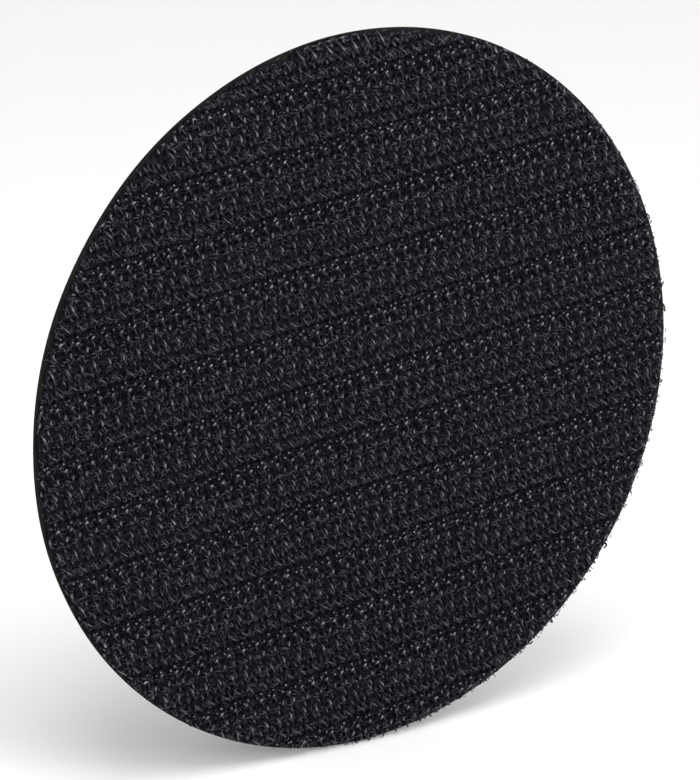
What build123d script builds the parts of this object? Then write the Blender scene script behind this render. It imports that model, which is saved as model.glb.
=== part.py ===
from build123d import *
from math import cos, radians, sin
import os

# Backing pad of a small random orbital sander: a hook-faced disc on a tapered foam cushion, with a
# ribbed plate, a riveted steel hub and a 5/16 in - 24 UNF stud that screws into the spindle.
#
# Frame, in millimetres: the origin is the centre of the seat, which is the ring face of the spacer
# washer that the spindle bears on. +Y runs along the stud, -Y out of the hook face, +Z is up.
# A "depth" is a distance from the seat towards the hook face, so it is measured along -Y.

os.makedirs("parts", exist_ok=True)

# ---- Driving dimensions -------------------------------------------------------------------

# Stud, turned from hexagon bar
stud_diameter = 7.938  # 5/16 in, over the thread's crests
stud_reach = 13.0  # seat to tip
stud_tip_chamfer = 0.9
shoulder_diameter = 9.0
head_across_flats = 12.7
head_height = 1.8

# Spacer washer on the stud's shoulder
washer_diameter = 16.0
washer_thickness = 1.2
washer_edge_chamfer = 0.2

# Hub flange, turned steel
flange_thickness = 1.6
flange_edge_chamfer = 0.35
boss_diameter = 17.0
boss_rise = 1.6

# Backing plate, moulded in glass-filled nylon
plate_diameter = 60.0
plate_web = 2.0
plate_floor = 1.8  # under the hub flange
collar_wall = 2.2
collar_drop = 0.3  # the flange stands this far proud of the collar
rim_width = 1.6
rim_rise = 0.6
ring_rib_diameter = 46.0
ring_rib_width = 1.2
ring_rib_rise = 0.5
rib_count = 18
rib_width = 1.3
rib_bury = 0.4  # how far a rib's ends run into the collar and the rim
rib_drop = 0.25  # a rib's ends stand this far below the collar and the rim

# Clamp ring behind the rivets' tails, punched from steel sheet
clamp_margin = 3.25  # from the rivets' circle out to the ring's edge
clamp_inner_margin = 4.75  # from the rivets' circle in to the ring's bore
clamp_thickness = 0.8

# Rivets, headed from steel wire
rivet_count = 6
rivet_head_gap = 0.65  # from the boss out to the rivets' heads
rivet_edge_distance = 3.25  # from a rivet's axis out to the flange's edge
rivet_first_angle = 30.0
rivet_diameter = 3.2
rivet_head_diameter = 5.2
rivet_head_height = 1.1
rivet_tail_diameter = 4.8
rivet_tail_height = 0.8

# Cushion, moulded polyurethane foam
pad_diameter = 75.0
foam_thickness = 7.0
foam_edge_land = 0.15
foam_lip_width = 1.5
foam_lip_height = 1.2

# Facing: bond film, woven ground and its pile of hooks
film_thickness = 0.15
film_inset = 0.2
ground_thickness = 0.4
pile_height = 1.4
pile_inset = 0.3

# Clearances, each one measured on the radius
shoulder_clearance = 0.1
hexagon_clearance = 0.1
flange_clearance = 0.15
rivet_clearance = 0.1
foam_clearance = 0.3

# ---- Depths of the faces, from the seat towards the hooks -----------------------------------

boss_depth = washer_thickness
flange_back = boss_depth + boss_rise
flange_front = flange_back + flange_thickness
head_back = flange_front - head_height
plate_front = flange_front + plate_floor
web_back = plate_front - plate_web
collar_top = flange_back + collar_drop
rim_top = web_back - rim_rise
clamp_front = plate_front + clamp_thickness
tail_front = clamp_front + rivet_tail_height
lip_top = plate_front - foam_lip_height
foam_front = plate_front + foam_thickness
film_front = foam_front + film_thickness
ground_front = film_front + ground_thickness

# ---- Radii that more than one piece uses ------------------------------------------------------

rivet_circle_radius = boss_diameter / 2 + rivet_head_gap + rivet_head_diameter / 2
flange_radius = rivet_circle_radius + rivet_edge_distance
flange_pocket_radius = flange_radius + flange_clearance
collar_radius = flange_pocket_radius + collar_wall
plate_radius = plate_diameter / 2
ring_rib_outside = ring_rib_diameter / 2
rivet_hole_radius = rivet_diameter / 2 + rivet_clearance
clamp_radius = rivet_circle_radius + clamp_margin
clamp_bore_radius = rivet_circle_radius - clamp_inner_margin
shoulder_bore_radius = shoulder_diameter / 2 + shoulder_clearance
rivet_places = [
    (
        rivet_circle_radius * cos(radians(rivet_first_angle + number * 360 / rivet_count)),
        rivet_circle_radius * sin(radians(rivet_first_angle + number * 360 / rivet_count)),
    )
    for number in range(rivet_count)
]

# ---- Stud: hexagon head, plain shoulder, threaded end ----------------------------------------

with BuildPart() as stud:
    with BuildSketch(Plane.XZ.offset(head_back)):
        RegularPolygon(head_across_flats / 2, 6, major_radius=False)
    extrude(amount=head_height)
    with BuildSketch(Plane.XZ.offset(head_back)):
        Circle(shoulder_diameter / 2)
    extrude(amount=-head_back)
    with BuildSketch(Plane.XZ):
        Circle(stud_diameter / 2)
    extrude(amount=-stud_reach)
    chamfer(stud.edges().group_by(Axis.Y)[-1], stud_tip_chamfer)
stud.part.label = "stud"
export_step(stud.part, "parts/stud.step")

# ---- Spacer washer: its outer ring face is the seat -------------------------------------------

with BuildPart() as spacer_washer:
    with BuildSketch(Plane.XZ):
        Circle(washer_diameter / 2)
        Circle(shoulder_bore_radius, mode=Mode.SUBTRACT)
    extrude(amount=washer_thickness)
    outer_rims = spacer_washer.edges().filter_by(GeomType.CIRCLE).group_by(SortBy.RADIUS)[-1]
    chamfer(outer_rims, washer_edge_chamfer)
spacer_washer.part.label = "spacer_washer"
export_step(spacer_washer.part, "parts/spacer_washer.step")

# ---- Hub flange: a disc with a raised boss, holding the stud's head in a hexagon pocket --------

with BuildPart() as hub_flange:
    with BuildSketch(Plane.XY):
        with BuildLine():
            Polyline(
                (0, -flange_front),
                (flange_radius, -flange_front),
                (flange_radius, -flange_back - flange_edge_chamfer),
                (flange_radius - flange_edge_chamfer, -flange_back),
                (boss_diameter / 2, -flange_back),
                (boss_diameter / 2, -boss_depth),
                (0, -boss_depth),
                close=True,
            )
        make_face()
    revolve(axis=Axis.Y)
    with BuildSketch(Plane.XZ.offset(head_back)):
        RegularPolygon(head_across_flats / 2 + hexagon_clearance, 6, major_radius=False)
    extrude(amount=head_height, mode=Mode.SUBTRACT)
    with BuildSketch(Plane.XZ.offset(boss_depth)):
        Circle(shoulder_bore_radius)
        with Locations(*rivet_places):
            Circle(rivet_hole_radius)
    extrude(amount=boss_rise + flange_thickness, mode=Mode.SUBTRACT)
hub_flange.part.label = "hub_flange"
export_step(hub_flange.part, "parts/hub_flange.step")

# ---- Backing plate: a web with a collar, a ring rib, a rim bead and tapering spokes -------------

with BuildPart() as backing_plate:
    with BuildSketch(Plane.XY):
        with BuildLine():
            Polyline(
                (0, -plate_front),
                (plate_radius, -plate_front),
                (plate_radius, -rim_top),
                (plate_radius - rim_width, -rim_top),
                (plate_radius - rim_width, -web_back),
                (ring_rib_outside, -web_back),
                (ring_rib_outside, -web_back + ring_rib_rise),
                (ring_rib_outside - ring_rib_width, -web_back + ring_rib_rise),
                (ring_rib_outside - ring_rib_width, -web_back),
                (collar_radius, -web_back),
                (collar_radius, -collar_top),
                (flange_pocket_radius, -collar_top),
                (flange_pocket_radius, -flange_front),
                (0, -flange_front),
                close=True,
            )
        make_face()
    revolve(axis=Axis.Y)
    for number in range(rib_count):
        with BuildSketch(Plane.XY.rotated((0, number * 360 / rib_count, 0))):
            with BuildLine():
                Polyline(
                    (collar_radius - rib_bury, -web_back - rib_bury),
                    (plate_radius - rim_width + rib_bury, -web_back - rib_bury),
                    (plate_radius - rim_width + rib_bury, -rim_top - rib_drop),
                    (collar_radius - rib_bury, -collar_top - rib_drop),
                    close=True,
                )
            make_face()
        extrude(amount=rib_width / 2, both=True)
    with BuildSketch(Plane.XZ.offset(flange_front)):
        with Locations(*rivet_places):
            Circle(rivet_hole_radius)
    extrude(amount=plate_floor, mode=Mode.SUBTRACT)
backing_plate.part.label = "backing_plate"
export_step(backing_plate.part, "parts/backing_plate.step")

# ---- Clamp ring: spreads the load of the rivets' tails over the nylon --------------------------

with BuildPart() as clamp_ring:
    with BuildSketch(Plane.XZ.offset(plate_front)):
        Circle(clamp_radius)
        Circle(clamp_bore_radius, mode=Mode.SUBTRACT)
        with Locations(*rivet_places):
            Circle(rivet_hole_radius, mode=Mode.SUBTRACT)
    extrude(amount=clamp_thickness)
clamp_ring.part.label = "clamp_ring"
export_step(clamp_ring.part, "parts/clamp_ring.step")

# ---- Rivets: head on the flange, tail set over the clamp ring -----------------------------------

for number, (across, up) in enumerate(rivet_places):
    with BuildPart() as rivet:
        rivet_plane = Plane(origin=(across, 0, up), x_dir=(1, 0, 0), z_dir=(0, 0, 1))
        with BuildSketch(rivet_plane):
            with BuildLine():
                Polyline(
                    (0, -flange_back + rivet_head_height),
                    (rivet_head_diameter / 2, -flange_back + rivet_head_height),
                    (rivet_head_diameter / 2, -flange_back),
                    (rivet_diameter / 2, -flange_back),
                    (rivet_diameter / 2, -clamp_front),
                    (rivet_tail_diameter / 2, -clamp_front),
                    (rivet_tail_diameter / 2, -tail_front),
                    (0, -tail_front),
                    close=True,
                )
            make_face()
        revolve(axis=Axis((across, 0, up), (0, 1, 0)))
    rivet.part.label = f"rivet_{number + 1}"
    export_step(rivet.part, f"parts/rivet_{number + 1}.step")

# ---- Foam cushion: tapers from the hook face to a lip round the plate --------------------------

with BuildPart() as foam_cushion:
    lip_inside = plate_radius + foam_clearance
    with BuildSketch(Plane.XY):
        with BuildLine():
            Polyline(
                (0, -foam_front),
                (pad_diameter / 2, -foam_front),
                (pad_diameter / 2, -foam_front + foam_edge_land),
                (lip_inside + foam_lip_width, -lip_top),
                (lip_inside, -lip_top),
                (lip_inside, -plate_front),
                (clamp_radius + foam_clearance, -plate_front),
                (clamp_radius + foam_clearance, -clamp_front),
                (clamp_bore_radius - foam_clearance, -clamp_front),
                (clamp_bore_radius - foam_clearance, -plate_front),
                (0, -plate_front),
                close=True,
            )
        make_face()
    revolve(axis=Axis.Y)
    with BuildSketch(Plane.XZ.offset(clamp_front)):
        with Locations(*rivet_places):
            Circle(rivet_tail_diameter / 2 + foam_clearance)
    extrude(amount=rivet_tail_height + foam_clearance, mode=Mode.SUBTRACT)
foam_cushion.part.label = "foam_cushion"
export_step(foam_cushion.part, "parts/foam_cushion.step")

# ---- Bond film between the foam and the woven facing ------------------------------------------

with BuildPart() as bond_film:
    with BuildSketch(Plane.XZ.offset(foam_front)):
        Circle(pad_diameter / 2 - film_inset)
    extrude(amount=film_thickness)
bond_film.part.label = "bond_film"
export_step(bond_film.part, "parts/bond_film.step")

# ---- Woven ground of the hook facing ----------------------------------------------------------

with BuildPart() as hook_ground:
    with BuildSketch(Plane.XZ.offset(film_front)):
        Circle(pad_diameter / 2)
    extrude(amount=ground_thickness)
hook_ground.part.label = "hook_ground"
export_step(hook_ground.part, "parts/hook_ground.step")

# ---- Pile: the space that the monofilament hooks fill ------------------------------------------

with BuildPart() as hook_pile:
    with BuildSketch(Plane.XZ.offset(ground_front)):
        Circle(pad_diameter / 2 - pile_inset)
    extrude(amount=pile_height)
hook_pile.part.label = "hook_pile"
export_step(hook_pile.part, "parts/hook_pile.step")
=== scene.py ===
import math

import bmesh
import bpy
from mathutils import Matrix, Vector


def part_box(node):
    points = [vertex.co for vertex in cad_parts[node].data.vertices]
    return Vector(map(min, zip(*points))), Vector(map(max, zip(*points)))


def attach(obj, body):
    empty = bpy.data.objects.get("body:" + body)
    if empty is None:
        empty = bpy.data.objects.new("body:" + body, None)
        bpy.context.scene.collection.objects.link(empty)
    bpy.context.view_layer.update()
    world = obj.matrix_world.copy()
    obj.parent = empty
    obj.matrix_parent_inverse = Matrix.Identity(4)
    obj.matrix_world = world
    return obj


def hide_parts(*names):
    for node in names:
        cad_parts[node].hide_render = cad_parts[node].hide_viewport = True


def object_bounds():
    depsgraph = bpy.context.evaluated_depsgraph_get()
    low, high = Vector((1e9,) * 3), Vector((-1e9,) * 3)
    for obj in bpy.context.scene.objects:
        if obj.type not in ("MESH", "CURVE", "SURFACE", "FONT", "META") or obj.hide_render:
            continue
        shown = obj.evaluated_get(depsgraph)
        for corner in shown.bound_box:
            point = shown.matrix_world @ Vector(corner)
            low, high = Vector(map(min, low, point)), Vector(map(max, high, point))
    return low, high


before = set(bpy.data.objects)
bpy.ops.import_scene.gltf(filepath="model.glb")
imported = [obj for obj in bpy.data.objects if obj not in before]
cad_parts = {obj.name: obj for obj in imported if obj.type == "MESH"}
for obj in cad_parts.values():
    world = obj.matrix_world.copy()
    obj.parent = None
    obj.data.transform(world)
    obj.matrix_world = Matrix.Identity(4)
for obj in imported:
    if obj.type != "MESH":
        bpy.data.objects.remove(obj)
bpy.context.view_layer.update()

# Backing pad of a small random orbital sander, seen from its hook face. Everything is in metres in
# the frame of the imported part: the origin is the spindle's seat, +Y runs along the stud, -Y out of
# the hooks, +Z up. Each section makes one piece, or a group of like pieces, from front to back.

scene = bpy.context.scene

# ---- Camera --------------------------------------------------------------------------------------
# A long lens, below and to the left of the disc's axis and level with the horizon, aimed at the
# middle of the hook face from about half a metre.

face_centre = Vector((-0.00156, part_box("hook_ground")[0].y, 0.00075))
camera_azimuth, camera_elevation, camera_distance = math.radians(-32.64), math.radians(18.22), 0.4839
camera_back = Vector((
    math.sin(camera_azimuth) * math.cos(camera_elevation),
    -math.cos(camera_azimuth) * math.cos(camera_elevation),
    math.sin(camera_elevation),
))
camera = bpy.data.objects.new("camera", bpy.data.cameras.new("camera"))
camera.data.lens, camera.data.sensor_width = 223.1, 36.0
camera.data.clip_start, camera.data.clip_end = 0.01, 20.0
camera.location = face_centre + camera_back * camera_distance
camera.rotation_mode = "QUATERNION"
camera.rotation_quaternion = (-camera_back).to_track_quat("-Z", "Y")
scene.collection.objects.link(camera)
scene.camera = camera

# ---- Woven ground of the hook facing -------------------------------------------------------------
# A plain weave of black multifilament nylon, warp along the hook lines and weft across them, on a
# thin back coating that locks it. The facing is die-cut to the pad's round and glued to the foam.

mm = 0.001
pad_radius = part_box("hook_ground")[1].x
ground_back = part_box("hook_ground")[1].y
ground_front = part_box("hook_ground")[0].y
weave_turn = math.radians(5.57)
hook_pitch = 1.562 * mm  # from hook to hook along a line
line_gap = 1.539 * mm  # from one hook line to the next
yarn_gap_along, yarn_gap_across = hook_pitch / 2, line_gap / 2
coating_thickness = 0.14 * mm
warp_width, warp_height, warp_wave = 0.62 * mm, 0.15 * mm, 0.045 * mm
weft_width, weft_height, weft_wave = 0.56 * mm, 0.13 * mm, 0.05 * mm
yarn_inset, yarn_depth = 0.28 * mm, -0.13 * mm
wander_scale = 420.0  # turns of a yarn's unevenness to the metre
wander_step = 3.7  # keeps the unevenness of the two sets of yarns apart

# cloth to row frame: u along the hook lines, v across them and up, w out of the face
cloth_frame = (
    Matrix.Translation((0, ground_front, 0))
    @ Matrix.Rotation(-weave_turn, 4, "Y")
    @ Matrix.Rotation(math.radians(90), 4, "X")
)


def wire(tree, kind, sockets=None, **settings):
    """Puts a node in a tree, with its settings, and feeds its sockets by name or number."""
    node = tree.nodes.new(kind)
    for name, value in settings.items():
        setattr(node, name, value)
    for name, value in (sockets or {}).items():
        if isinstance(value, bpy.types.NodeSocket):
            tree.links.new(value, node.inputs[name])
        else:
            node.inputs[name].default_value = value
    return node


def sums(tree, operation, a, b=0.0, c=0.0, **settings):
    """One Math node's result."""
    return wire(tree, "ShaderNodeMath", {0: a, 1: b, 2: c}, operation=operation, **settings).outputs[0]


def ranged(tree, value, low, high, at_low=0.0, at_high=1.0):
    """A value's place between low and high, from at_low to at_high and no further."""
    return wire(tree, "ShaderNodeMapRange", {0: value, 1: low, 2: high, 3: at_low, 4: at_high}).outputs[0]


def mixed(tree, share, first, second):
    """A colour between two, by a share."""
    return wire(tree, "ShaderNodeMix", {0: share, 6: first, 7: second}, data_type="RGBA").outputs[2]


def new_tree(name, kind, inputs, outputs):
    """An empty node group with named sockets: its tree, its inputs by name, its output node."""
    tree = bpy.data.node_groups.new(name, kind)
    for socket, form, value in inputs:
        made = tree.interface.new_socket(socket, in_out="INPUT", socket_type="NodeSocket" + form)
        if value is not None:
            made.default_value = value
    for socket, form in outputs:
        tree.interface.new_socket(socket, in_out="OUTPUT", socket_type="NodeSocket" + form)
    given = tree.nodes.new("NodeGroupInput").outputs
    return tree, given, tree.nodes.new("NodeGroupOutput")


def new_material(name):
    """A new material, its tree, its Principled shader and its object coordinates."""
    material = bpy.data.materials.new(name)
    material.use_nodes = True
    tree = material.node_tree
    shader = tree.nodes["Principled BSDF"]
    coordinates = wire(tree, "ShaderNodeTexCoord").outputs["Object"]
    return material, tree, shader, coordinates


def noise(tree, place, scale, detail):
    """A noise pattern's value at a place."""
    return wire(tree, "ShaderNodeTexNoise", {
        "Vector": place, "Scale": scale, "Detail": detail}).outputs["Fac"]


def end_in_surface(tree, result, given, shade, roughness, height):
    """Ends a surface group: its colour and its roughness by a share each, and its fine height."""
    rough = sums(tree, "SUBTRACT", roughness, 0.5)
    rough = sums(tree, "MULTIPLY_ADD", rough, given["Roughness Spread"], given["Roughness"])
    tree.links.new(mixed(tree, shade, given["Dark"], given["Light"]), result.inputs["Color"])
    tree.links.new(rough, result.inputs["Roughness"])
    tree.links.new(height, result.inputs["Height"])


# uneven colour and roughness at two scales, with the fine height that gives a surface its tooth
uneven, given, result = new_tree(
    "uneven surface",
    "ShaderNodeTree",
    [
        ("Place", "Vector", None),
        ("Coarse Size", "Float", 0.006),
        ("Fine Size", "Float", 0.0003),
        ("Dark", "Color", (0.01, 0.01, 0.01, 1)),
        ("Light", "Color", (0.02, 0.02, 0.02, 1)),
        ("Roughness", "Float", 0.5),
        ("Roughness Spread", "Float", 0.1),
    ],
    [("Color", "Color"), ("Roughness", "Float"), ("Height", "Float")],
)
coarse = noise(uneven, given["Place"], sums(uneven, "DIVIDE", 1.0, given["Coarse Size"]), 4.0)
fine = noise(uneven, given["Place"], sums(uneven, "DIVIDE", 1.0, given["Fine Size"]), 3.0)
both = sums(uneven, "MULTIPLY_ADD", fine, 0.5, sums(uneven, "MULTIPLY", coarse, 0.5))
spread = ranged(uneven, both, 0.35, 0.65)
end_in_surface(uneven, result, given, spread, spread, fine)


def finish_of(name, group, values, bump_distance, shader_values=None):
    """A material with a surface group's colour, roughness and fine height, and its own values on the
    shader. Gives the material, its tree, shader and bump, its coordinates and the group's outputs."""
    material, tree, shader, place = new_material(name)
    surface = wire(tree, "ShaderNodeGroup", {"Place": place, **values}, node_tree=group).outputs
    bump = wire(tree, "ShaderNodeBump", {"Height": surface["Height"], "Distance": bump_distance})
    tree.links.new(surface["Color"], shader.inputs["Base Color"])
    tree.links.new(surface["Roughness"], shader.inputs["Roughness"])
    tree.links.new(bump.outputs[0], shader.inputs["Normal"])
    for socket, value in (shader_values or {}).items():
        shader.inputs[socket].default_value = value
    return material, tree, shader, bump, place, surface


# yarn: matte black, with the fine ridges of its twisted filaments
woven_yarn, *_ = finish_of("woven_yarn", uneven, {
    "Coarse Size": 0.009, "Fine Size": 0.00012,
    "Dark": (0.0028, 0.0025, 0.0042, 1), "Light": (0.0078, 0.0071, 0.0120, 1),
    "Roughness": 0.8, "Roughness Spread": 0.2,
}, 0.03 * mm, {"Specular IOR Level": 0.1})
back_coating, *_ = finish_of("back_coating", uneven, {
    "Coarse Size": 0.004, "Fine Size": 0.0004,
    "Dark": (0.004, 0.004, 0.004, 1), "Light": (0.010, 0.010, 0.009, 1),
    "Roughness": 0.8, "Roughness Spread": 0.1,
}, 0.05 * mm, {"Specular IOR Level": 0.1})

# the back coating: a thin closed disc on the bond film, just inside the pad's round
rings, spokes = 24, 180
coating_inset, film_clearance = 0.05 * mm, 0.01 * mm
cloth = bmesh.new()
layers = []
coating_back = ground_back - film_clearance
for depth in (coating_back, coating_back - coating_thickness):
    centre = cloth.verts.new((0, depth, 0))
    loops = []
    for ring in range(1, rings + 1):
        radius = (pad_radius - coating_inset) * ring / rings
        loops.append([
            cloth.verts.new((
                radius * math.cos(2 * math.pi * spoke / spokes),
                depth,
                radius * math.sin(2 * math.pi * spoke / spokes),
            ))
            for spoke in range(spokes)
        ])
    for spoke in range(spokes):
        after = (spoke + 1) % spokes
        cloth.faces.new((centre, loops[0][spoke], loops[0][after]))
        for inner, outer in zip(loops, loops[1:]):
            cloth.faces.new((inner[spoke], outer[spoke], outer[after], inner[after]))
    layers.append(loops[-1])
for spoke in range(spokes):
    after = (spoke + 1) % spokes
    cloth.faces.new((layers[0][spoke], layers[1][spoke], layers[1][after], layers[0][after]))
bmesh.ops.recalc_face_normals(cloth, faces=cloth.faces)
cloth_mesh = bpy.data.meshes.new("facing_cloth")
cloth.to_mesh(cloth_mesh)
cloth.free()
facing_cloth = bpy.data.objects.new("facing_cloth", cloth_mesh)
scene.collection.objects.link(facing_cloth)
cloth_mesh.materials.append(back_coating)


def joined(tree, **parts):
    """A vector from its X, Y and Z; what isn't given is nought."""
    return wire(tree, "ShaderNodeCombineXYZ", parts).outputs[0]


def vectors(tree, operation, a, b):
    """One Vector Math node's result."""
    return wire(tree, "ShaderNodeVectorMath", {0: a, 1: b}, operation=operation).outputs[0]


def length_of(tree, vector):
    """How long a vector is."""
    return wire(tree, "ShaderNodeVectorMath", {0: vector}, operation="LENGTH").outputs["Value"]


def end_in_mesh(tree, result, geometry, material):
    """Ends a Geometry Nodes tree in Realize Instances and Set Material."""
    geometry = wire(tree, "GeometryNodeRealizeInstances", {0: geometry}).outputs[0]
    geometry = wire(tree, "GeometryNodeSetMaterial", {"Geometry": geometry, "Material": material})
    tree.links.new(geometry.outputs[0], result.inputs[0])


def without(tree, geometry, value, test, limit):
    """A tree's geometry without the points where a value is past its limit."""
    past = wire(tree, "FunctionNodeCompare", {
        0: value, 1: limit}, data_type="FLOAT", operation=test).outputs[0]
    return wire(tree, "GeometryNodeDeleteGeometry", {0: geometry, 1: past}, domain="POINT").outputs[0]


def tubes_along(tree, curves, profile_sides, profile_radius):
    """Smooth closed tubes along a tree's curves."""
    profile = wire(tree, "GeometryNodeCurvePrimitiveCircle", {
        "Resolution": profile_sides, "Radius": profile_radius}).outputs[0]
    tubes = wire(tree, "GeometryNodeCurveToMesh", {
        "Curve": curves, "Profile Curve": profile, "Fill Caps": True}).outputs[0]
    return wire(tree, "GeometryNodeSetShadeSmooth", {0: tubes}).outputs[0]


def grown(name, tree, values, place, piece=None):
    """A plain mesh object from a Geometry Nodes tree run with these values, moved to its place.
    The tree may start from a piece, which is used up."""
    if piece is None:
        piece = bpy.data.objects.new(name + "_seed", bpy.data.meshes.new(name + "_seed"))
        scene.collection.objects.link(piece)
    modifier = piece.modifiers.new("grow", "NODES")
    modifier.node_group = tree
    identifiers = {
        item.name: item.identifier
        for item in tree.interface.items_tree
        if item.item_type == "SOCKET" and item.in_out == "INPUT"
    }
    for socket, value in values.items():
        modifier[identifiers[socket]] = value
    evaluated = piece.evaluated_get(bpy.context.evaluated_depsgraph_get())
    mesh = bpy.data.meshes.new_from_object(evaluated)
    piece.modifiers.remove(modifier)
    bpy.data.objects.remove(piece)
    mesh.name = name
    mesh.transform(place)
    made = bpy.data.objects.new(name, mesh)
    scene.collection.objects.link(made)
    return made


# the yarns: straight flattened tubes across the disc, waved over and under the other set
yarns, given, result = new_tree(
    "woven yarns",
    "GeometryNodeTree",
    [
        ("Facing Radius", "Float", 0.0375),
        ("Yarn Gap", "Float", 0.00077),
        ("Crossing Gap", "Float", 0.00078),
        ("Yarn Width", "Float", 0.0005),
        ("Yarn Height", "Float", 0.00015),
        ("Wave", "Float", 0.00005),
        ("Depth", "Float", -0.0001),
        ("Sides", "Int", 5),
        ("Unevenness", "Float", 0.00004),
        ("Seed", "Int", 1),
        ("Yarn", "Material", None),
    ],
    [("Geometry", "Geometry")],
)
radius, gap, crossing = given["Facing Radius"], given["Yarn Gap"], given["Crossing Gap"]
half_count = sums(yarns, "FLOOR", sums(yarns, "DIVIDE", radius, gap))
count = sums(yarns, "MULTIPLY_ADD", half_count, 2.0, 1.0)
first = sums(yarns, "MULTIPLY", sums(yarns, "MULTIPLY", half_count, -1.0), gap)
rows = wire(yarns, "GeometryNodeMeshLine", {
    "Count": count, "Start Location": joined(yarns, Y=first), "Offset": joined(yarns, Y=gap),
}, mode="OFFSET").outputs[0]
strand = wire(yarns, "GeometryNodeCurvePrimitiveLine", {
    "Start": joined(yarns, X=sums(yarns, "MULTIPLY", radius, -1.0)), "End": joined(yarns, X=radius),
}).outputs[0]
strand = wire(yarns, "GeometryNodeResampleCurve", {
    "Curve": strand, "Count": sums(yarns, "CEIL", sums(
        yarns, "DIVIDE", sums(yarns, "MULTIPLY", radius, 4.0), crossing)),
}).outputs[0]
laid = wire(yarns, "GeometryNodeInstanceOnPoints", {"Points": rows, "Instance": strand}).outputs[0]
laid = wire(yarns, "GeometryNodeRealizeInstances", {0: laid}).outputs[0]
where = wire(yarns, "GeometryNodeInputPosition").outputs[0]
laid = without(yarns, laid, length_of(yarns, where), "GREATER_THAN", radius)
tubes = tubes_along(
    yarns, laid, given["Sides"], sums(yarns, "MULTIPLY", given["Yarn Width"], 0.5))
parts = wire(yarns, "ShaderNodeSeparateXYZ", {0: where}).outputs
wander = wire(yarns, "ShaderNodeTexNoise", {
    "Scale": wander_scale, "W": sums(yarns, "MULTIPLY", given["Seed"], wander_step),
}, noise_dimensions="4D").outputs["Color"]
wander = vectors(yarns, "SUBTRACT", wander, (0.5, 0.5, 0.5))
wander = wire(
    yarns, "ShaderNodeVectorMath", {0: wander, "Scale": given["Unevenness"]}, operation="SCALE"
).outputs[0]
parity = sums(yarns, "COSINE", sums(yarns, "MULTIPLY", sums(
    yarns, "ROUND", sums(yarns, "DIVIDE", parts["Y"], gap)), math.pi))
wave = sums(yarns, "MULTIPLY", sums(yarns, "COSINE", sums(
    yarns, "MULTIPLY", sums(yarns, "DIVIDE", parts["X"], crossing), math.pi)), parity)
flat = sums(yarns, "MULTIPLY", parts["Z"], sums(
    yarns, "DIVIDE", given["Yarn Height"], given["Yarn Width"]))
height = sums(yarns, "ADD", sums(yarns, "MULTIPLY_ADD", wave, given["Wave"], flat), given["Depth"])
new_place = vectors(yarns, "ADD", joined(yarns, X=parts["X"], Y=parts["Y"], Z=height), wander)
tubes = wire(yarns, "GeometryNodeSetPosition", {"Geometry": tubes, "Position": new_place}).outputs[0]
end_in_mesh(yarns, result, tubes, given["Yarn"])

warp_yarns = grown("warp_yarns", yarns, {
    "Facing Radius": pad_radius - yarn_inset, "Yarn Gap": yarn_gap_across, "Crossing Gap": yarn_gap_along,
    "Yarn Width": warp_width, "Yarn Height": warp_height, "Wave": warp_wave,
    "Depth": yarn_depth, "Sides": 5, "Unevenness": 0.06 * mm, "Seed": 1, "Yarn": woven_yarn,
}, cloth_frame)
weft_yarns = grown("weft_yarns", yarns, {
    "Facing Radius": pad_radius - yarn_inset, "Yarn Gap": yarn_gap_along, "Crossing Gap": yarn_gap_across,
    "Yarn Width": weft_width, "Yarn Height": weft_height, "Wave": -weft_wave,
    "Depth": yarn_depth, "Sides": 4, "Unevenness": 0.05 * mm, "Seed": 2, "Yarn": woven_yarn,
}, cloth_frame @ Matrix.Rotation(math.radians(90), 4, "Z"))

# loose filaments: the bulked yarn's own fine curls, standing out of the weave between the hooks
loose, given, result = new_tree(
    "loose filaments",
    "GeometryNodeTree",
    [
        ("Facing Radius", "Float", 0.0375),
        ("Density", "Float", 3000000.0),
        ("Length", "Float", 0.0006),
        ("Rise", "Float", 0.00025),
        ("Filament Radius", "Float", 0.00005),
        ("Depth", "Float", 0.0),
        ("Depth Scatter", "Float", 0.0001),
        ("Lean", "Float", 0.5),
        ("Line Gap", "Float", 0.0015),
        ("Groove", "Float", 0.0),
        ("Groove Width", "Float", 0.0002),
        ("Seed", "Int", 1),
        ("Yarn", "Material", None),
    ],
    [("Geometry", "Geometry")],
)
disc = wire(loose, "GeometryNodeMeshCircle", {
    "Vertices": 96, "Radius": given["Facing Radius"]}, fill_type="NGON").outputs[0]
points = wire(loose, "GeometryNodeDistributePointsOnFaces", {
    "Mesh": disc, "Density": given["Density"], "Seed": given["Seed"]}).outputs[0]
across = wire(loose, "ShaderNodeSeparateXYZ", {
    0: wire(loose, "GeometryNodeInputPosition").outputs[0]}).outputs["Y"]
half_gap = sums(loose, "MULTIPLY", given["Line Gap"], 0.5)
from_groove = sums(loose, "WRAP", sums(
    loose, "SUBTRACT", across, given["Groove"]), half_gap, sums(loose, "MULTIPLY", half_gap, -1.0))
points = without(
    loose, points, sums(loose, "ABSOLUTE", from_groove),
    "LESS_THAN", sums(loose, "MULTIPLY", given["Groove Width"], 0.5),
)
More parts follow.
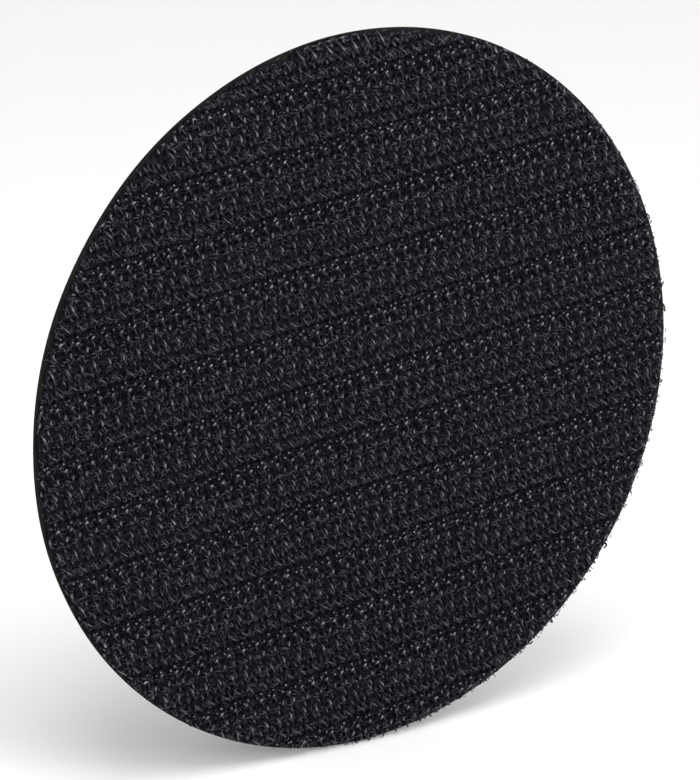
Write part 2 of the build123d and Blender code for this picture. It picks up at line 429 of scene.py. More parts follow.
# 11, 23 and 37 only keep apart the seeds of a filament's height, turn and size
lift = wire(loose, "FunctionNodeRandomValue", {
    2: sums(loose, "SUBTRACT", given["Depth"], given["Depth Scatter"]),
    3: sums(loose, "ADD", given["Depth"], given["Depth Scatter"]),
    "Seed": sums(loose, "ADD", given["Seed"], 11.0),
}).outputs[1]
points = wire(loose, "GeometryNodeSetPosition", {
    "Geometry": points, "Offset": joined(loose, Z=lift)}).outputs[0]
half = sums(loose, "MULTIPLY", given["Length"], 0.5)
curl = wire(loose, "GeometryNodeCurveQuadraticBezier", {
    "Resolution": 4,
    "Start": joined(loose, X=sums(loose, "MULTIPLY", half, -1.0)),
    "Middle": joined(
        loose, X=sums(loose, "MULTIPLY", half, 0.3), Y=sums(loose, "MULTIPLY", half, 0.6),
        Z=sums(loose, "MULTIPLY", given["Rise"], 2.0),
    ),
    "End": joined(loose, X=half),
}).outputs[0]
facing = wire(loose, "FunctionNodeRandomValue", {
    0: (0.0, 0.0, 0.0), 1: (1.0, 1.0, 1.0), "Seed": sums(loose, "ADD", given["Seed"], 23.0),
}, data_type="FLOAT_VECTOR").outputs[0]
turns = wire(loose, "ShaderNodeSeparateXYZ", {0: facing}).outputs
facing = joined(
    loose,
    X=sums(loose, "MULTIPLY", sums(loose, "SUBTRACT", turns["X"], 0.5), given["Lean"]),
    Y=sums(loose, "MULTIPLY", sums(loose, "SUBTRACT", turns["Y"], 0.5), given["Lean"]),
    Z=sums(loose, "MULTIPLY", turns["Z"], 2 * math.pi),
)
size = wire(loose, "FunctionNodeRandomValue", {
    2: 0.6, 3: 1.4, "Seed": sums(loose, "ADD", given["Seed"], 37.0)}).outputs[1]
curls = wire(loose, "GeometryNodeInstanceOnPoints", {
    "Points": points, "Instance": curl, "Rotation": facing,
    "Scale": joined(loose, X=size, Y=size, Z=size),
}).outputs[0]
curls = wire(loose, "GeometryNodeRealizeInstances", {0: curls}).outputs[0]
curls = tubes_along(loose, curls, profile_sides=3, profile_radius=given["Filament Radius"])
end_in_mesh(loose, result, curls, given["Yarn"])

bulked_yarn, *_ = finish_of("bulked_yarn", uneven, {
    "Coarse Size": 0.002, "Fine Size": 0.00012,
    "Dark": (0.0085, 0.0077, 0.0130, 1), "Light": (0.0475, 0.0446, 0.0640, 1),
    "Roughness": 0.55, "Roughness Spread": 0.3,
}, 0.01 * mm)
# three layers, each drawn in a little further from the rim and standing a little higher
first_inset, inset_step, first_depth, depth_step = 0.06, 0.14, 0.02, 0.16
loose_filaments = []
for number in range(3):
    piece = grown(f"loose_filaments_{number + 1}", loose, {
        "Facing Radius": pad_radius - (first_inset + inset_step * number) * mm,
        "Depth": (first_depth + depth_step * number) * mm, "Depth Scatter": 0.12 * mm,
        "Density": 2.1e6, "Length": 0.36 * mm, "Rise": 0.14 * mm, "Lean": 1.1,
        "Filament Radius": 0.044 * mm, "Line Gap": line_gap, "Groove": -0.35 * mm,
        "Groove Width": 0.38 * mm, "Seed": 5 + number, "Yarn": bulked_yarn,
    }, cloth_frame)
    loose_filaments.append(piece)

for piece in (facing_cloth, warp_yarns, weft_yarns, *loose_filaments):
    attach(piece, "root")
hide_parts("hook_ground")

# ---- Hooks ---------------------------------------------------------------------------------------
# Loops of 0.2 mm nylon monofilament, woven in with the ground and cut near one foot, so each leaves a
# hook and a short stub. Two lines lean one way, the next two the other, four to a repeat, and finer
# filaments float over the ground between them.

pile_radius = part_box("hook_pile")[1].x + 0.1 * mm
weave_skew = -0.0154  # how far the lines slip along themselves, for each metre across them
hook_points, stub_points = 11, 5  # along each filament
place_scatter, turn_scatter, tilt_scatter, size_scatter = 0.09 * mm, 0.18, 0.08, 0.07
seed_step = 17.0  # keeps the scatters of one kind of filament apart from those of the next

hook_nylon, tree, shader, _, _, surface = finish_of("hook_nylon", uneven, {
    "Coarse Size": 0.0008, "Fine Size": 0.00009,
    "Dark": (0.085, 0.082, 0.101, 1), "Light": (0.230, 0.226, 0.255, 1),
    "Roughness": 0.26, "Roughness Spread": 0.16,
}, 0.012 * mm)
# painted highlight: crowns and cut ends take the pale colour where their glints fall; stems keep the dye's
# black
highlight_share = wire(tree, "ShaderNodeAttribute", attribute_name="painted_highlight").outputs["Fac"]
tree.links.new(mixed(tree, highlight_share, (0.012, 0.011, 0.018, 1), surface["Color"]), shader.inputs["Base Color"])

filaments, given, result = new_tree(
    "filament of the weave",
    "GeometryNodeTree",
    [
        ("Pitch", "Float", 0.0015),
        ("Repeat", "Float", 0.006),
        ("Skew", "Float", 0.0),
        ("Pile Radius", "Float", 0.037),
        ("Root", "Vector", (0, 0, 0)),
        ("Foot", "Vector", (0, 0, 0)),
        ("Stem", "Vector", (0, 0, 0)),
        ("Crown", "Vector", (0, 0, 0)),
        ("Tip", "Vector", (0, 0, 0)),
        ("Points", "Int", 11),
        ("Filament Radius", "Float", 0.0001),
        ("Rim", "Float", 0.0375),
        ("Rim Width", "Float", 0.001),
        ("Rim Crush", "Float", 0.5),
        ("Place Scatter", "Float", 0.00005),
        ("Turn Scatter", "Float", 0.2),
        ("Tilt Scatter", "Float", 0.1),
        ("Size Scatter", "Float", 0.05),
        ("Highlight Middle", "Float", 0.7),
        ("Highlight Reach", "Float", 0.3),
        ("Painted Highlight", "Float", 1.0),
        ("Seed", "Int", 1),
        ("Nylon", "Material", None),
    ],
    [("Geometry", "Geometry")],
)
radius = given["Pile Radius"]
grid = {}
for axis, gap in (("X", given["Pitch"]), ("Y", given["Repeat"])):
    half = sums(filaments, "CEIL", sums(filaments, "DIVIDE", radius, gap))
    half = sums(filaments, "ADD", half, 1.0)
    grid["Vertices " + axis] = sums(filaments, "MULTIPLY_ADD", half, 2.0, 1.0)
    grid["Size " + axis] = sums(filaments, "MULTIPLY", sums(filaments, "MULTIPLY", half, 2.0), gap)
roots = wire(filaments, "GeometryNodeMeshGrid", grid).outputs[0]


def scatter(spread, number):
    """A random value for each filament, up to the spread either way, from its own stream."""
    return wire(filaments, "FunctionNodeRandomValue", {
        2: sums(filaments, "MULTIPLY", spread, -1.0), 3: spread,
        "Seed": sums(filaments, "MULTIPLY_ADD", given["Seed"], seed_step, float(number)),
    }).outputs[1]


def from_stud():
    """How far a point is from the stud's axis."""
    return length_of(filaments, vectors(filaments, "MULTIPLY", where, (1.0, 1.0, 0.0)))


where = wire(filaments, "GeometryNodeInputPosition").outputs[0]
jitter = joined(
    filaments, X=scatter(given["Place Scatter"], 1), Y=scatter(given["Place Scatter"], 2))
roots = wire(filaments, "GeometryNodeSetPosition", {
    "Geometry": roots, "Offset": vectors(filaments, "ADD", given["Root"], jitter)}).outputs[0]
slip = sums(filaments, "MULTIPLY", wire(
    filaments, "ShaderNodeSeparateXYZ", {0: where}).outputs["Y"], given["Skew"])
roots = wire(filaments, "GeometryNodeSetPosition", {
    "Geometry": roots, "Offset": joined(filaments, X=slip)}).outputs[0]
roots = without(filaments, roots, from_stud(), "GREATER_THAN", radius)
filament = wire(filaments, "GeometryNodeCurvePrimitiveBezierSegment", {
    "Resolution": 10, "Start": given["Foot"], "Start Handle": given["Stem"],
    "End Handle": given["Crown"], "End": given["Tip"],
}, mode="POSITION").outputs[0]
filament = wire(filaments, "GeometryNodeResampleCurve", {
    "Curve": filament, "Count": given["Points"]}).outputs[0]
size = sums(filaments, "ADD", 1.0, scatter(given["Size Scatter"], 3))
planted = wire(filaments, "GeometryNodeInstanceOnPoints", {
    "Points": roots, "Instance": filament, "Scale": joined(filaments, X=size, Y=size, Z=size),
    "Rotation": joined(
        filaments, X=scatter(given["Tilt Scatter"], 4), Y=scatter(given["Tilt Scatter"], 5),
        Z=scatter(given["Turn Scatter"], 6),
    ),
}).outputs[0]
# each filament's strength of painted highlight, at random about its kind's own
planted = wire(filaments, "GeometryNodeStoreNamedAttribute", {
    "Geometry": planted, "Name": "highlight_strength",
    "Value": sums(filaments, "MULTIPLY", given["Painted Highlight"], sums(filaments, "ADD", 0.75, scatter(0.5, 7))),
}, domain="INSTANCE").outputs[0]
planted = wire(filaments, "GeometryNodeRealizeInstances", {0: planted}).outputs[0]
# the painted highlight lies on a stretch of each filament, strongest at its middle
along = wire(filaments, "GeometryNodeSplineParameter").outputs["Factor"]
nearness = sums(filaments, "SUBTRACT", 1.0, sums(filaments, "DIVIDE", sums(
    filaments, "ABSOLUTE", sums(filaments, "SUBTRACT", along, given["Highlight Middle"])),
    given["Highlight Reach"]), use_clamp=True)
highlight_strength = wire(filaments, "GeometryNodeInputNamedAttribute", {"Name": "highlight_strength"}).outputs[0]
planted = wire(filaments, "GeometryNodeStoreNamedAttribute", {
    "Geometry": planted, "Name": "painted_highlight",
    "Value": sums(filaments, "MULTIPLY", nearness, highlight_strength, use_clamp=True),
}).outputs[0]
# the die that cuts the facing to its round crushes the outermost filaments and pushes them inwards
crushed = ranged(
    filaments, from_stud(), sums(filaments, "SUBTRACT", given["Rim"], given["Rim Width"]), given["Rim"],
    1.0, sums(filaments, "SUBTRACT", 1.0, given["Rim Crush"]),
)
pushed = sums(filaments, "MINIMUM", 1.0, sums(filaments, "DIVIDE", radius, from_stud()))
planted = wire(filaments, "GeometryNodeSetPosition", {
    "Geometry": planted, "Position": vectors(
        filaments, "MULTIPLY", where, joined(filaments, X=pushed, Y=pushed, Z=crushed)),
}).outputs[0]
planted = tubes_along(filaments, planted, profile_sides=6, profile_radius=given["Filament Radius"])
end_in_mesh(filaments, result, planted, given["Nylon"])

# each kind's radius and painted highlight (where along it, how far either way, how much), then its root
# (along, across), and its stem and crown handles and its tip from the root (along, across, up), in mm
filament_kinds = {
    "hooks_a": (
        0.102, (0.76, 0.14, 0.85), (-0.48, -0.00),
        (-0.10, -0.09, 1.00), (-0.14, -0.02, 1.75), (0.28, -0.92, 0.85),
    ),
    "hooks_b": (
        0.080, (0.84, 0.26, 0.27), (-0.05, -2.00),
        (-0.26, 0.05, 0.75), (0.01, -0.26, 1.30), (0.61, -0.84, 0.70),
    ),
    "hooks_p": (
        0.102, (0.84, 0.17, 1.00), (-0.39, -4.86),
        (-0.19, 0.59, 0.80), (-0.42, 1.32, 1.80), (0.06, 0.96, 1.00),
    ),
    "hooks_q": (
        0.108, (0.70, 0.18, 1.30), (-0.72, 0.22),
        (-0.48, 0.60, 0.75), (-0.92, 1.37, 1.70), (-0.50, 1.10, 0.90),
    ),
    "stubs_a": (
        0.090, (0.80, 0.45, 0.48), (-0.48, -1.42),
        (-0.05, -0.08, 0.20), (-0.06, -0.20, 0.40), (-0.08, -0.33, 0.60),
    ),
    "stubs_b": (
        0.075, (0.90, 0.40, 0.22), (0.08, -2.13),
        (-0.10, -0.06, 0.30), (-0.19, -0.11, 0.60), (-0.26, -0.17, 0.95),
    ),
    "stubs_p": (
        0.100, (1.00, 0.26, 0.62), (-0.55, -3.91),
        (-0.11, 0.07, 0.30), (-0.28, 0.18, 0.70), (-0.44, 0.31, 1.05),
    ),
    "stubs_q": (
        0.092, (0.80, 0.45, 0.66), (-1.26, 0.18),
        (-0.07, -0.08, 0.20), (-0.08, -0.20, 0.40), (-0.08, -0.36, 0.60),
    ),
    "ends_p": (
        0.100, (1.00, 0.26, 0.66), (-0.05, -3.63),
        (-0.11, 0.09, 0.30), (-0.28, 0.21, 0.70), (-0.44, 0.34, 1.05),
    ),
    "ends_q": (
        0.090, (0.60, 0.45, 0.72), (-1.45, 0.54),
        (-0.02, 0.16, 0.35), (-0.02, 0.20, 0.60), (0.14, 0.03, 0.60),
    ),
    "strands_b": (
        0.076, (0.40, 0.36, 0.44), (0.05, -1.05),
        (-0.02, -0.14, 0.20), (-0.02, -0.36, 0.40), (0.06, -0.56, 0.50),
    ),
    "floats_q": (
        0.066, (0.50, 1.00, 0.00), (-0.20, 0.21),
        (0.04, 0.19, 0.25), (0.26, 0.19, 0.25), (0.59, 0.00, 0.00),
    ),
    "floats_b": (
        0.055, (0.50, 1.00, 0.00), (-0.45, -2.54),
        (-0.03, 0.12, 0.20), (0.01, -0.09, 0.25), (0.19, -0.43, 0.00),
    ),
    "floats_p": (
        0.055, (0.50, 1.00, 0.00), (0.02, -4.42),
        (-0.09, -0.02, 0.50), (-0.02, -0.25, 0.50), (0.28, -0.66, 0.10),
    ),
}
for number, (name, kind) in enumerate(filament_kinds.items()):
    filament_radius, (highlight_middle, highlight_reach, painted_highlight), root, *shape = kind
    stem, crown, tip = (tuple(size * mm for size in point) for point in shape)
    piece = grown(name, filaments, {
        "Pitch": hook_pitch, "Repeat": 4 * line_gap, "Skew": weave_skew, "Pile Radius": pile_radius,
        "Rim": pad_radius, "Rim Width": 1.5 * mm, "Rim Crush": 0.74,
        "Root": (root[0] * mm, root[1] * mm, 0.0), "Foot": (0.0, 0.0, -0.12 * mm),
        "Stem": stem, "Crown": crown, "Tip": tip, "Filament Radius": filament_radius * mm,
        "Points": hook_points if name.startswith("hooks") else stub_points,
        "Highlight Middle": highlight_middle, "Highlight Reach": highlight_reach, "Painted Highlight": painted_highlight,
        "Place Scatter": place_scatter, "Turn Scatter": turn_scatter, "Tilt Scatter": tilt_scatter,
        "Size Scatter": size_scatter, "Seed": number + 1,
        "Nylon": bulked_yarn if name.startswith("floats") else hook_nylon,
    }, cloth_frame)
    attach(piece, "root")
    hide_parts("hook_pile")

# ---- Bond film -----------------------------------------------------------------------------------
# A thin film of hot-melt adhesive that joins the facing's coated back to the foam. It is cut with the
# facing, so only its edge shows, as a fine dull line round the rim.


def refinish(node_name, material):
    """Gives a CAD node its material."""
    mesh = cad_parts[node_name].data
    mesh.materials.clear()
    mesh.materials.append(material)


bond_film, *_ = finish_of("bond_film", uneven, {
    "Coarse Size": 0.003, "Fine Size": 0.0005,
    "Dark": (0.008, 0.008, 0.006, 1), "Light": (0.018, 0.017, 0.013, 1),
    "Roughness": 0.45, "Roughness Spread": 0.15,
}, 0.04 * mm, {"Specular IOR Level": 0.2})
refinish("bond_film", bond_film)

# ---- Foam cushion --------------------------------------------------------------------------------
# Black polyurethane foam moulded in one piece: a cone from the hook face to a rounded lip that stands
# round the plate, with the mould's own skin, a faint parting line and small burst bubbles.


def turned(form, half_profile, columns, swell=None):
    """Turns (radius, depth) pairs, which begin and end on the stud's axis, into a closed form."""
    loops = []
    for radius, depth in half_profile:
        if radius == 0.0:
            loops.append([form.verts.new((0.0, -depth, 0.0))])
            continue
        loop = []
        for column in range(columns):
            angle = 2 * math.pi * column / columns
            reach = swell(angle, radius, depth) if swell else radius
            loop.append(form.verts.new((reach * math.cos(angle), -depth, reach * math.sin(angle))))
        loops.append(loop)
    for here, there in zip(loops, loops[1:]):
        for column in range(columns):
            after = (column + 1) % columns
            if len(here) == 1:
                corners = (here[0], there[column], there[after])
            elif len(there) == 1:
                corners = (here[column], there[0], here[after])
            else:
                corners = (here[column], there[column], there[after], here[after])
            form.faces.new(corners)


def finished(form, name, material, sharp_degrees):
    """A mesh object from a form: normals outward, smooth but for its sharp edges."""
    bmesh.ops.recalc_face_normals(form, faces=form.faces)
    for face in form.faces:
        face.smooth = True
    mesh = bpy.data.meshes.new(name)
    form.to_mesh(mesh)
    form.free()
    mesh.set_sharp_from_angle(angle=math.radians(sharp_degrees))
    mesh.materials.append(material)
    piece = bpy.data.objects.new(name, mesh)
    scene.collection.objects.link(piece)
    return piece


pu_foam, tree, shader, bump, place, surface = finish_of("pu_foam", uneven, {
    "Coarse Size": 0.008, "Fine Size": 0.00035,
    "Dark": (0.008, 0.008, 0.008, 1), "Light": (0.020, 0.020, 0.019, 1),
    "Roughness": 0.74, "Roughness Spread": 0.16,
}, 0.08 * mm, {"Specular IOR Level": 0.3})
# small burst bubbles in patches, where the mould's skin isn't closed, with painted shade in their pits;
# both scales are to the metre
bubble_scale, patch_scale, bubble_reach = 1500.0, 260.0, 0.32
bubbles = wire(tree, "ShaderNodeTexVoronoi", {"Vector": place, "Scale": bubble_scale}).outputs["Distance"]
closed_skin = ranged(tree, noise(tree, place, patch_scale, 2.0), 0.48, 0.62, 1.0, 0.0)
solid = sums(tree, "MAXIMUM", ranged(tree, bubbles, 0.0, bubble_reach), closed_skin)
# painted shade: the bubbles' pits take a darker colour than the skin round them
tree.links.new(
    mixed(tree, solid, (0.004, 0.004, 0.004, 1), surface["Color"]), shader.inputs["Base Color"])
tree.links.new(sums(tree, "MULTIPLY_ADD", surface["Height"], 0.6, solid), bump.inputs["Height"])
bump.inputs["Strength"].default_value = 0.9

foam_low, foam_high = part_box("foam_cushion")
plate_low, plate_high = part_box("backing_plate")
ring_low, ring_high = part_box("clamp_ring")
foam_front, lip_top, plate_front = -foam_low.y, -foam_high.y, -plate_low.y
ring_front, tail_front = -ring_low.y, -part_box("rivet_1")[0].y
foam_gap, lip_width, lip_round, edge_land = 0.3 * mm, 1.5 * mm, 0.55 * mm, 0.15 * mm
lip_inside = plate_high.x + foam_gap
lip_outside = lip_inside + lip_width
ring_bore = 7.0 * mm
pocket_inside, pocket_outside = ring_bore + 1.9 * mm, ring_high.x - 0.4 * mm  # for the rivets' tails
edge_round, edge_inset, edge_drop = 0.3 * mm, 0.05 * mm, 0.03 * mm
half_profile = [
    (0.0, foam_front),
    (0.8 * pad_radius, foam_front),
    (pad_radius - edge_round, foam_front),
    (pad_radius - edge_inset, foam_front - edge_drop),
]
cone_steps, round_steps = 30, 6
for step in range(cone_steps + 1):
    share = step / cone_steps
    half_profile.append((
        pad_radius + (lip_outside - pad_radius) * share,
        foam_front - edge_land + (lip_top + lip_round - foam_front + edge_land) * share,
    ))
for step in range(1, round_steps + 1):
    angle = math.pi * step / round_steps
    half_profile.append((
        lip_inside + lip_width / 2 * (1 + math.cos(angle)),
        lip_top + lip_round * (1 - math.sin(angle)),
    ))
half_profile += [
    (lip_inside, plate_front), (ring_high.x + foam_gap, plate_front),
    (ring_high.x + foam_gap, ring_front), (pocket_outside, ring_front),
    (pocket_outside, tail_front + foam_gap), (pocket_inside, tail_front + foam_gap),
    (pocket_inside, ring_front), (ring_bore - foam_gap, ring_front),
    (ring_bore - foam_gap, plate_front), (0.0, plate_front),
]
parting_depth, parting_width, parting_height = foam_front - 1.6 * mm, 0.14 * mm, 0.10 * mm
foam_columns = 300
mould_shrinkage = 0.07  # in mm


def foam_side(angle, radius, depth):
    """The cone's slight unevenness, and the ridge where the mould's halves met."""
    if radius < lip_outside or depth > foam_front - edge_land:
        return radius
    waves = 0.04 * math.sin(3 * angle + 900 * depth) + 0.03 * math.sin(11 * angle - 1300 * depth)
    ridge = parting_height * math.exp(-(((depth - parting_depth) / parting_width) ** 2))
    return radius + (waves - mould_shrinkage) * mm + ridge


foam = bmesh.new()
turned(foam, half_profile, foam_columns, foam_side)
foam_body = finished(foam, "foam_body", pu_foam, sharp_degrees=50)
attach(foam_body, "root")
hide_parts("foam_cushion")

# ---- Backing plate -------------------------------------------------------------------------------
# Injection moulded in black glass-filled nylon. The skin shows a fine mottle of fibres drawn out by
# the flow, and a slight sheen.

moulded_nylon, tree, shader, bump, place, surface = finish_of("moulded_nylon", uneven, {
    "Coarse Size": 0.010, "Fine Size": 0.00018,
    "Dark": (0.014, 0.014, 0.015, 1), "Light": (0.036, 0.036, 0.038, 1),
    "Roughness": 0.46, "Roughness Spread": 0.22,
}, 0.02 * mm)
flow_turn, fibre_scale = (0.0, 0.5, 0.0), (900.0, 900.0, 2600.0)
fibre_place = wire(tree, "ShaderNodeMapping", {
    "Vector": place, "Rotation": flow_turn, "Scale": fibre_scale}).outputs[0]
fibre_share = ranged(tree, noise(tree, fibre_place, 1.0, 2.0), 0.55, 0.75, 0.0, 0.35)
tree.links.new(
    mixed(tree, fibre_share, surface["Color"], (0.075, 0.075, 0.078, 1)), shader.inputs["Base Color"])
soft_edges = wire(tree, "ShaderNodeBevel", {"Radius": 0.2 * mm}, samples=6).outputs[0]
tree.links.new(soft_edges, bump.inputs["Normal"])
bump.inputs["Strength"].default_value = 0.8
refinish("backing_plate", moulded_nylon)

# ---- Hub flange, clamp ring and spacer washer ----------------------------------------------------
# Steel, turned or punched, then zinc plated: fine turning rings about the stud's axis, and an uneven
# bloom in the plating.

turned_steel, given, result = new_tree(
    "turned steel",
    "ShaderNodeTree",
    [
        ("Place", "Vector", None),
        ("Ring Gap", "Float", 0.0002),
        ("Dark", "Color", (0.4, 0.4, 0.4, 1)),
        ("Light", "Color", (0.6, 0.6, 0.6, 1)),
        ("Roughness", "Float", 0.35),
        ("Roughness Spread", "Float", 0.15),
    ],
    [("Color", "Color"), ("Roughness", "Float"), ("Height", "Float")],
)
parts = wire(turned_steel, "ShaderNodeSeparateXYZ", {0: given["Place"]}).outputs
from_axis = sums(turned_steel, "SQRT", sums(turned_steel, "MULTIPLY_ADD", parts["X"], parts["X"], sums(
    turned_steel, "MULTIPLY", parts["Z"], parts["Z"])))
ring_place = joined(
    turned_steel,
    X=sums(turned_steel, "DIVIDE", from_axis, given["Ring Gap"]),
    Y=sums(turned_steel, "DIVIDE", parts["Y"], given["Ring Gap"]),
)
ring_marks = noise(turned_steel, ring_place, 1.0, 3.0)
bloom_scale = 230.0  # to the metre
bloom = ranged(turned_steel, noise(turned_steel, given["Place"], bloom_scale, 4.0), 0.35, 0.65)
end_in_surface(turned_steel, result, given, bloom, ring_marks, ring_marks)

for name, nodes, dark, light, roughness in (
    ("zinc_steel", ("hub_flange", "clamp_ring"), (0.36, 0.37, 0.39, 1), (0.46, 0.465, 0.47, 1), 0.32),
    ("washer_steel", ("spacer_washer",), (0.32, 0.32, 0.33, 1), (0.43, 0.43, 0.43, 1), 0.28),
):
    steel, *_ = finish_of(name, turned_steel, {
        "Ring Gap": 0.00016, "Dark": dark, "Light": light,
        "Roughness": roughness, "Roughness Spread": 0.35,
    }, 0.006 * mm, {"Metallic": 1.0})
    for node_name in nodes:
        refinish(node_name, steel)

# ---- Rivets --------------------------------------------------------------------------------------
# Six solid steel rivets, headed from wire and zinc plated, put in from the back. The press leaves the
# heads domed, with a fine uneven sheen, and spreads the tails over the clamp ring.

rivet_steel, *_ = finish_of("rivet_steel", uneven, {
    "Coarse Size": 0.0016, "Fine Size": 0.00012,
    "Dark": (0.40, 0.40, 0.40, 1), "Light": (0.56, 0.56, 0.55, 1),
    "Roughness": 0.26, "Roughness Spread": 0.22,
}, 0.005 * mm, {"Metallic": 1.0})

rivet_low, rivet_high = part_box("rivet_1")
head_radius = (rivet_high.x - rivet_low.x) / 2
rivet_middle = (rivet_low + rivet_high) / 2
flange_back, head_top = 2.8 * mm, -rivet_high.y
shank_radius, tail_radius, tail_round = 1.6 * mm, 2.4 * mm, 0.8 * mm
dome_foot, dome_steps, tail_steps = flange_back - 0.12 * mm, 8, 6
head_gap, head_chamfer = 0.02 * mm, 0.06 * mm
rivet_profile = [(0.0, head_top)]
for step in range(1, dome_steps + 1):
    angle = math.radians(90 * step / dome_steps)
    rivet_profile.append((
        head_radius * math.sin(angle), dome_foot - (dome_foot - head_top) * math.cos(angle)))
rivet_profile += [
    (head_radius, flange_back - head_gap), (head_radius - head_chamfer, flange_back),
    (shank_radius, flange_back), (shank_radius, ring_front),
]
for step in range(tail_steps + 1):
    angle = math.radians(-90 + 180 * step / tail_steps)
    rivet_profile.append((
        tail_radius - tail_round / 2 + tail_round / 2 * math.cos(angle),
        (ring_front + tail_front) / 2 + (tail_front - ring_front) / 2 * math.sin(angle),
    ))
rivet_profile.append((0.0, tail_front))
one_rivet = bmesh.new()
turned(one_rivet, rivet_profile, columns=32)
one_rivet = finished(one_rivet, "one_rivet", rivet_steel, sharp_degrees=40)

rivet_circle, given, result = new_tree(
    "rivet circle",
    "GeometryNodeTree",
    [
        ("Rivet", "Geometry", None),
        ("Count", "Int", 6),
        ("Circle Radius", "Float", 0.012),
        ("First Angle", "Float", 0.5),
        ("Seed", "Int", 1),
        ("Steel", "Material", None),
    ],
    [("Geometry", "Geometry")],
)
places = wire(rivet_circle, "GeometryNodeMeshCircle", {
    "Vertices": given["Count"], "Radius": given["Circle Radius"]}).outputs[0]
places = wire(rivet_circle, "GeometryNodeTransform", {
    "Geometry": places, "Rotation": joined(rivet_circle, Z=given["First Angle"])}).outputs[0]
spin = wire(rivet_circle, "FunctionNodeRandomValue", {
    2: 0.0, 3: 2 * math.pi, "Seed": given["Seed"]}).outputs[1]
riveted = wire(rivet_circle, "GeometryNodeInstanceOnPoints", {
    "Points": places, "Instance": given["Rivet"], "Rotation": joined(rivet_circle, Z=spin),
}).outputs[0]
end_in_mesh(rivet_circle, result, riveted, given["Steel"])

# the circle lies in the tree's XY plane, so the rivet and the result are turned between Y and Z
upright = Matrix.Rotation(math.radians(90), 4, "X")
one_rivet.data.transform(upright)
rivets = grown("rivets", rivet_circle, {
    "Count": 6, "Circle Radius": math.hypot(rivet_middle.x, rivet_middle.z),
    "First Angle": math.atan2(rivet_middle.z, rivet_middle.x), "Seed": 4, "Steel": rivet_steel,
}, upright.inverted(), one_rivet)
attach(rivets, "root")
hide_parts(*(f"rivet_{number}" for number in range(1, 7)))

# ---- Stud ----------------------------------------------------------------------------------------
# Turned from hexagon bar: the head is caught in the flange, the plain shoulder carries the washer, and
# the end has a 5/16 in - 24 UNF right-hand thread with a relief at the seat and a chamfered tip.

stud_steel, *_ = finish_of("stud_steel", turned_steel, {
    "Ring Gap": 0.00011, "Dark": (0.27, 0.27, 0.28, 1), "Light": (0.40, 0.40, 0.40, 1),
    "Roughness": 0.30, "Roughness Spread": 0.30,
}, 0.004 * mm, {"Metallic": 1.0})

thread_pitch = 25.4 / 24 * mm
crest_radius = 7.938 / 2 * mm
thread_depth = 0.6134 * thread_pitch  # that of an external unified thread
crest_edge, root_edge = 1 / 16, 3 / 8  # where the flank begins and ends, in pitches from the crest
stud_tip, stud_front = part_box("stud")[1].y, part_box("stud")[0].y
head_height, corner_chamfer = 1.8 * mm, 0.15 * mm
head_corner = 12.7 / 2 / math.cos(math.pi / 6) * mm  # of a hexagon, 12.7 mm across its flats
shoulder_radius, shoulder_chamfer, tip_chamfer = 4.5 * mm, 0.08 * mm, 0.9 * mm
relief_radius, relief_length = crest_radius - thread_depth - 0.06 * mm, 0.9 * mm
centre_hole = 0.9 * mm


def thread_form(angle, radius, depth):
    """The shank's radius: relief, then a right-hand thread cut back to the tip's chamfer."""
    height = -depth
    if height <= 0.0 or height > stud_tip - 0.001 * mm:
        return radius
    off_crest = abs((height / thread_pitch + angle / (2 * math.pi) + 0.5) % 1.0 - 0.5)
    cut = min(max((off_crest - crest_edge) / (root_edge - crest_edge), 0.0), 1.0)
    return min(
        crest_radius - cut * thread_depth,
        relief_radius + max(0.0, height - relief_length),
        crest_radius - max(0.0, height - (stud_tip - tip_chamfer)),
    )


shank_profile = [
    (0.0, -stud_front - head_height / 2), (shoulder_radius, -stud_front - head_height / 2),
    (shoulder_radius, shoulder_chamfer), (shoulder_radius - shoulder_chamfer, 0.0), (relief_radius, 0.0),
]
rows_per_pitch, stud_columns = 14, 72
rows = round(stud_tip / thread_pitch * rows_per_pitch)
shank_profile += [(crest_radius, -stud_tip * row / rows) for row in range(1, rows)]
shank_profile += [
    (crest_radius - tip_chamfer, -stud_tip), (centre_hole, -stud_tip), (0.0, -stud_tip + centre_hole * 0.8),
]
stud_form = bmesh.new()
turned(stud_form, shank_profile, stud_columns, thread_form)
head_profile = [
    (0.0, -stud_front), (head_corner - corner_chamfer, -stud_front),
    (head_corner, -stud_front - corner_chamfer),
    (head_corner, -stud_front - head_height + corner_chamfer),
    (head_corner - corner_chamfer, -stud_front - head_height), (0.0, -stud_front - head_height),
]
turned(stud_form, head_profile, columns=6)
threaded_stud = finished(stud_form, "threaded_stud", stud_steel, sharp_degrees=24)
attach(threaded_stud, "root")
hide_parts("stud")

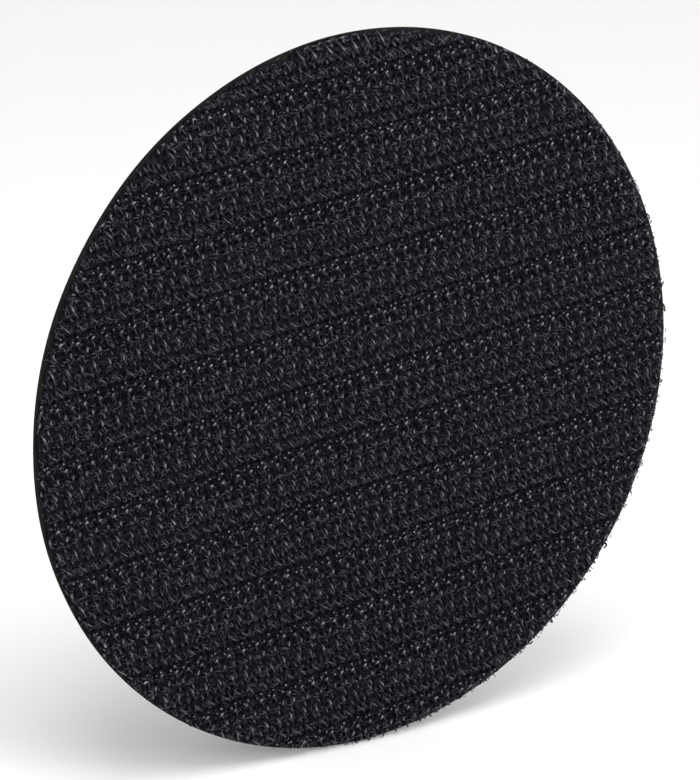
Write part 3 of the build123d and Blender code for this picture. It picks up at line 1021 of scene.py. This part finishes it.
# ---- Floor, backdrop and light -------------------------------------------------------------------
# A plain white table that sweeps up behind the pad, one large soft light overhead and one in front.

floor_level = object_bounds()[0].z
floor_front, floor_back, floor_half_width = -1.2, 0.5, 1.6
sweep_radius, sweep_steps, backdrop_height = 0.4, 12, 1.4
sweep = [(floor_front, floor_level), (floor_back, floor_level)]
for step in range(1, sweep_steps + 1):
    angle = math.radians(90 * step / sweep_steps)
    sweep.append((
        floor_back + sweep_radius * math.sin(angle),
        floor_level + sweep_radius * (1 - math.cos(angle)),
    ))
sweep.append((floor_back + sweep_radius, floor_level + backdrop_height))
backdrop = bmesh.new()
left, right = (
    [backdrop.verts.new((x, y, z)) for y, z in sweep] for x in (-floor_half_width, floor_half_width)
)
for here in range(len(sweep) - 1):
    backdrop.faces.new((left[here], right[here], right[here + 1], left[here + 1]))
for face in backdrop.faces:
    face.smooth = True
backdrop_mesh = bpy.data.meshes.new("backdrop")
backdrop.to_mesh(backdrop_mesh)
backdrop.free()
floor = bpy.data.objects.new("backdrop", backdrop_mesh)
scene.collection.objects.link(floor)
paper, _, shader, _ = new_material("paper")
shader.inputs["Base Color"].default_value = (0.93, 0.93, 0.93, 1)
shader.inputs["Roughness"].default_value = 0.9
backdrop_mesh.materials.append(paper)

world = bpy.data.worlds.new("studio")
world.use_nodes = True
world.node_tree.nodes["Background"].inputs["Color"].default_value = (1, 1, 1, 1)
world.node_tree.nodes["Background"].inputs["Strength"].default_value = 0.75
scene.world = world


def soft_light(name, place, aim, width, power):
    """A square area light at a place, turned towards a point."""
    lamp = bpy.data.objects.new(name, bpy.data.lights.new(name, "AREA"))
    lamp.data.shape, lamp.data.size, lamp.data.energy = "SQUARE", width, power
    lamp.location = place
    lamp.rotation_mode = "QUATERNION"
    lamp.rotation_quaternion = (Vector(aim) - Vector(place)).to_track_quat("-Z", "Y")
    scene.collection.objects.link(lamp)


soft_light("overhead", (-0.05, -0.13, 0.27), face_centre, width=0.22, power=0.66)
soft_light("front", (0.55, -0.80, 0.05), face_centre, width=0.55, power=10.8)

scene.view_settings.view_transform = "Standard"
